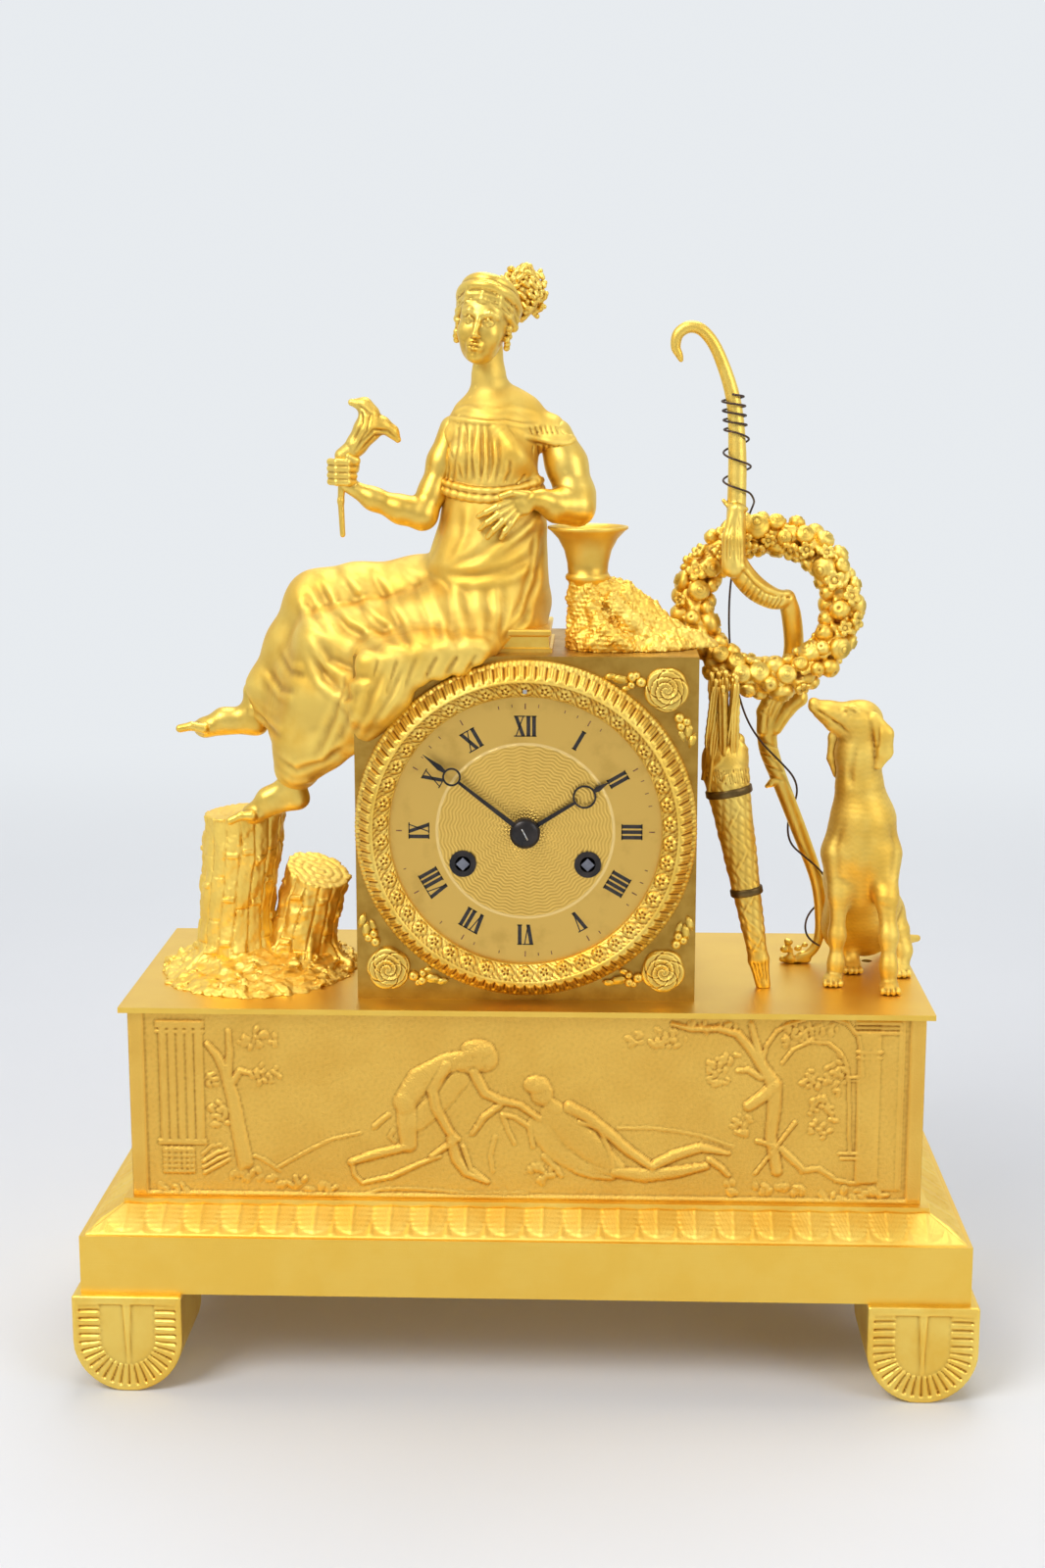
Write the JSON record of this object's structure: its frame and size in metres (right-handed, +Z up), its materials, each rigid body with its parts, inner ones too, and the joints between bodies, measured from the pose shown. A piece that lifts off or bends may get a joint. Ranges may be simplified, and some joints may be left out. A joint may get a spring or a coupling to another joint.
{
  "type": "figural mantel clock",
  "caption": "Gilt mantel clock: a seated figure on a square case above a relief plinth on fluted feet, with a dog, bow, quiver, wreath and tree stumps.",
  "frame": {"origin": "on the ground, under the middle of the base", "axes": "+X to the right seen from the front, +Y towards the back, +Z up"},
  "size_m": [0.326, 0.1468, 0.4032],
  "materials": {
    "gilt_bronze": "mercury-gilt bronze, burnished and matte, worn in the hollows",
    "case_brass": "lacquered sheet brass with a satin, browner surface",
    "movement_brass": "polished clockmaker's brass",
    "steel": "bright filed steel",
    "spring_steel": "tempered spring steel",
    "blued_steel": "blackened steel",
    "bell_metal": "turned bell metal",
    "dark_wire": "twisted dark wire"
  },
  "bodies": {
    "clock": {"foot_front_left": "gilt_bronze", "foot_front_right": "gilt_bronze", "foot_back_left": "gilt_bronze", "foot_back_right": "gilt_bronze", "base_block": "gilt_bronze", "leaf_moulding": "gilt_bronze", "plinth_box": "gilt_bronze", "relief_panel": "gilt_bronze", "plinth_top_plate": "gilt_bronze", "bezel": "gilt_bronze", "dial": "gilt_bronze", "corner_roses": "gilt_bronze", "tree_stumps": "gilt_bronze", "figure_body": "gilt_bronze", "figure_head": "gilt_bronze", "figure_arms": "gilt_bronze", "flower_sceptre": "gilt_bronze", "seat_block": "gilt_bronze", "horn_vessel": "gilt_bronze", "dog": "gilt_bronze", "bow": "gilt_bronze", "wreath": "gilt_bronze", "quiver": "gilt_bronze", "case_shell": "case_brass", "case_front_plate": "case_brass", "back_ring": "case_brass", "movement_front_plate": "movement_brass", "movement_back_plate": "movement_brass", "movement_pillars": "movement_brass", "suspension_cock": "movement_brass", "plinth_tie_rods": "steel", "foot_studs": "steel", "fixing_nuts": "steel", "movement_straps": "steel", "clicks": "steel", "bell_stand": "steel", "door_hinge_pin": "steel", "mainsprings": "spring_steel", "winding_collets": "blued_steel", "bell": "bell_metal", "bow_string": "dark_wire"},
    "minute": {"centre_wheel": "movement_brass", "minute_hand": "blued_steel"},
    "hour": {"hour_wheel": "movement_brass", "hour_hand": "blued_steel"},
    "minute_gear": {"minute_wheel": "movement_brass"},
    "third": {"third_wheel": "movement_brass"},
    "escape": {"escape_wheel": "movement_brass"},
    "anchor": {"pallets": "steel"},
    "pendulum": {"pendulum_rod": "steel", "pendulum_bob": "movement_brass", "suspension_spring": "spring_steel"},
    "going_drum": {"going_barrel": "movement_brass"},
    "strike_drum": {"strike_barrel": "movement_brass"},
    "pin_gear": {"pin_wheel": "movement_brass"},
    "hammer_arm": {"hammer": "steel"},
    "going_arbor": {"going_winding_arbor": "steel"},
    "strike_arbor": {"strike_winding_arbor": "steel"},
    "regulator": {"regulation_arbor": "steel"},
    "door": {"back_door": "case_brass"}
  },
  "joints": [
    {"name": "minute_turn", "type": "hinge", "parent": "clock", "child": "minute", "pos_m": [0, 0, 0.2032], "axis": [0, 1, 0], "continuous": true},
    {"name": "hour_turn", "type": "hinge", "parent": "clock", "child": "hour", "pos_m": [0, 0, 0.2032], "axis": [0, 1, 0], "continuous": true},
    {"name": "minute_gear_turn", "type": "hinge", "parent": "clock", "child": "minute_gear", "pos_m": [0, 0, 0.1936], "axis": [0, 1, 0], "continuous": true},
    {"name": "third_turn", "type": "hinge", "parent": "clock", "child": "third", "pos_m": [0.00812, 0, 0.21743], "axis": [0, 1, 0], "continuous": true},
    {"name": "escape_turn", "type": "hinge", "parent": "clock", "child": "escape", "pos_m": [0, 0, 0.2284], "axis": [0, 1, 0], "continuous": true},
    {"name": "going_drum_turn", "type": "hinge", "parent": "clock", "child": "going_drum", "pos_m": [0.0223, 0, 0.1913], "axis": [0, 1, 0], "continuous": true},
    {"name": "strike_drum_turn", "type": "hinge", "parent": "clock", "child": "strike_drum", "pos_m": [-0.0223, 0, 0.1913], "axis": [0, 1, 0], "continuous": true},
    {"name": "pin_gear_turn", "type": "hinge", "parent": "clock", "child": "pin_gear", "pos_m": [-0.01576, 0, 0.21571], "axis": [0, 1, 0], "continuous": true},
    {"name": "pendulum_swing", "type": "hinge", "parent": "clock", "child": "pendulum", "pos_m": [0, 0.006, 0.2397], "axis": [0, 1, 0], "range_deg": [-4, 4]},
    {"name": "anchor_swing", "type": "hinge", "parent": "clock", "child": "anchor", "pos_m": [0, 0.006, 0.2397], "axis": [0, 1, 0], "range_deg": [-4, 4]},
    {"name": "hammer_swing", "type": "hinge", "parent": "clock", "child": "hammer_arm", "pos_m": [-0.033, 0, 0.222], "axis": [0, 1, 0], "range_deg": [-14, 0], "stiffness_Nm_per_rad": 0.02, "springref_deg": 14.32},
    {"name": "going_winding", "type": "hinge", "parent": "clock", "child": "going_arbor", "pos_m": [0.0223, 0, 0.1913], "axis": [0, 1, 0], "range_deg": [0, 1800]},
    {"name": "strike_winding", "type": "hinge", "parent": "clock", "child": "strike_arbor", "pos_m": [-0.0223, 0, 0.1913], "axis": [0, 1, 0], "range_deg": [0, 1800]},
    {"name": "regulation_turn", "type": "hinge", "parent": "clock", "child": "regulator", "pos_m": [0, 0, 0.2541], "axis": [0, 1, 0], "range_deg": [-720, 720]},
    {"name": "door_turn", "type": "hinge", "parent": "clock", "child": "door", "pos_m": [-0.05282, 0.0475, 0.2032], "axis": [0, 0, 1], "range_deg": [0, 110]}
  ],
  "couplings": [
    {"joint": "hour_turn", "follows": "minute_turn", "ratio": 0.083333},
    {"joint": "minute_gear_turn", "follows": "minute_turn", "ratio": -0.33333},
    {"joint": "third_turn", "follows": "minute_turn", "ratio": -12},
    {"joint": "escape_turn", "follows": "minute_turn", "ratio": 144},
    {"joint": "going_drum_turn", "follows": "minute_turn", "ratio": -0.2},
    {"joint": "pin_gear_turn", "follows": "strike_drum_turn", "ratio": -5},
    {"joint": "anchor_swing", "follows": "pendulum_swing", "ratio": 1}
  ]
}
